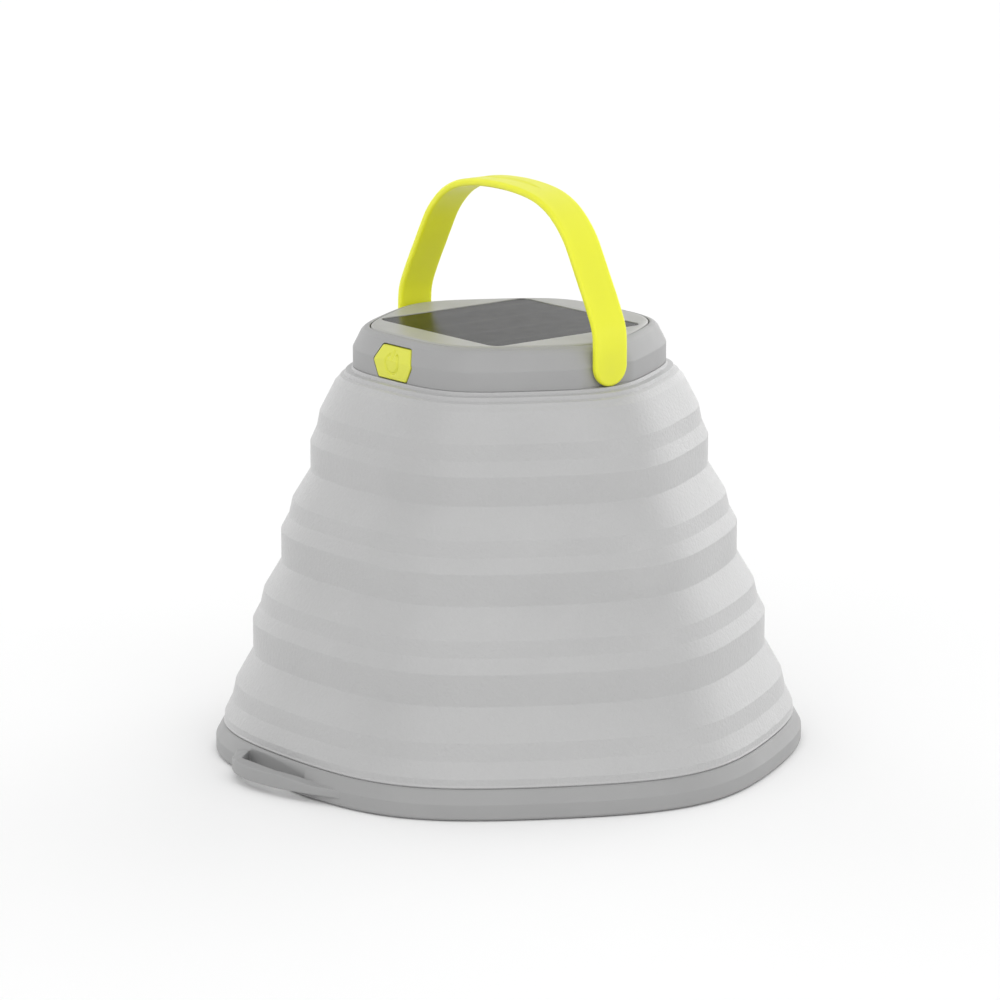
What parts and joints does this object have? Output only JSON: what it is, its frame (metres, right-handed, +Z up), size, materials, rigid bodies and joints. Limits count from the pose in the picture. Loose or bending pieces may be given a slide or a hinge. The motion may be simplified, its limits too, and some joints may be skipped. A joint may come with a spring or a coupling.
{
  "type": "camping lantern",
  "caption": "Collapsible camping lantern: a solar head with a push button and a folding strap handle on a frosted bellows that folds flat into a wide base.",
  "frame": {"origin": "centre of the base plate's underside, on the surface that the lantern stands on", "axes": "+Z up through the head; +X and -X towards the two corners that carry the handle; -Y towards the side with the power button"},
  "size_m": [0.1508, 0.1509, 0.1457],
  "materials": {
    "grey_plastic": "satin moulded plastic",
    "pale_plastic": "gloss moulded plastic",
    "yellow": "satin soft-touch plastic",
    "silicone": "frosted translucent silicone",
    "panel": "gloss laminated solar panel",
    "rubber": "matt rubber",
    "white_plastic": "matt white plastic",
    "frosted": "frosted light cover",
    "steel": "plated steel",
    "board_metal": "white-coated aluminium board",
    "board": "green circuit board",
    "black_plastic": "black plastic",
    "cell_foil": "foil pouch",
    "phosphor": "yellow phosphor"
  },
  "bodies": {
    "base": {"base_ring": "grey_plastic", "base_plate": "grey_plastic", "base_clamp_ring": "white_plastic", "base_screw_1": "steel", "base_screw_2": "steel", "base_screw_3": "steel", "base_screw_4": "steel", "base_screw_5": "steel", "base_screw_6": "steel", "bellows_foot": "silicone", "bellows_fold_1": "silicone"},
    "lower_band": {"bellows_band_1": "silicone", "bellows_fold_2": "silicone"},
    "middle_band": {"bellows_band_2": "silicone", "bellows_fold_3": "silicone"},
    "upper_band": {"bellows_band_3": "silicone", "bellows_fold_4": "silicone"},
    "head": {"bellows_collar": "silicone", "head_housing": "grey_plastic", "top_plate": "pale_plastic", "plate_seal": "rubber", "solar_panel": "panel", "head_floor": "white_plastic", "head_clamp_ring": "white_plastic", "head_screw_1": "steel", "head_screw_2": "steel", "head_screw_3": "steel", "head_screw_4": "steel", "led_board": "board_metal", "led_1": "phosphor", "led_2": "phosphor", "led_3": "phosphor", "led_4": "phosphor", "led_5": "phosphor", "led_6": "phosphor", "led_diffuser": "frosted", "battery_cell": "cell_foil", "control_board": "board", "button_switch": "black_plastic", "port_board": "board", "charge_port": "steel", "pin_clip_right": "steel", "pin_clip_left": "steel"},
    "button": {"power_button": "yellow"},
    "cover": {"port_cover": "rubber"},
    "handle": {"handle_strap": "yellow"}
  },
  "joints": [
    {"name": "collapse", "type": "slide", "parent": "base", "child": "lower_band", "axis": [0, 0, -1], "range_m": [0, 0.018], "deforming": ["bellows_fold_1"]},
    {"name": "middle_fold", "type": "slide", "parent": "lower_band", "child": "middle_band", "axis": [0, 0, -1], "range_m": [0, 0.018], "deforming": ["bellows_fold_2"]},
    {"name": "upper_fold", "type": "slide", "parent": "middle_band", "child": "upper_band", "axis": [0, 0, -1], "range_m": [0, 0.018], "deforming": ["bellows_fold_3"]},
    {"name": "head_fold", "type": "slide", "parent": "upper_band", "child": "head", "axis": [0, 0, -1], "range_m": [0, 0.018], "deforming": ["bellows_fold_4"]},
    {"name": "button_press", "type": "slide", "parent": "head", "child": "button", "axis": [0, 1, 0], "range_m": [0, 0.0007], "stiffness_N_per_m": 1500, "springref_m": -0.0004},
    {"name": "cover_swing", "type": "hinge", "parent": "head", "child": "cover", "pos_m": [0, 0.0379, 0.1001], "axis": [-1, 0, 0], "range_deg": [0, 100]},
    {"name": "handle_swing", "type": "hinge", "parent": "head", "child": "handle", "pos_m": [0, 0, 0.1041], "axis": [1, 0, 0], "range_deg": [-85, 85]}
  ],
  "couplings": [
    {"joint": "middle_fold", "follows": "collapse", "ratio": 1},
    {"joint": "upper_fold", "follows": "collapse", "ratio": 1},
    {"joint": "head_fold", "follows": "collapse", "ratio": 1}
  ]
}
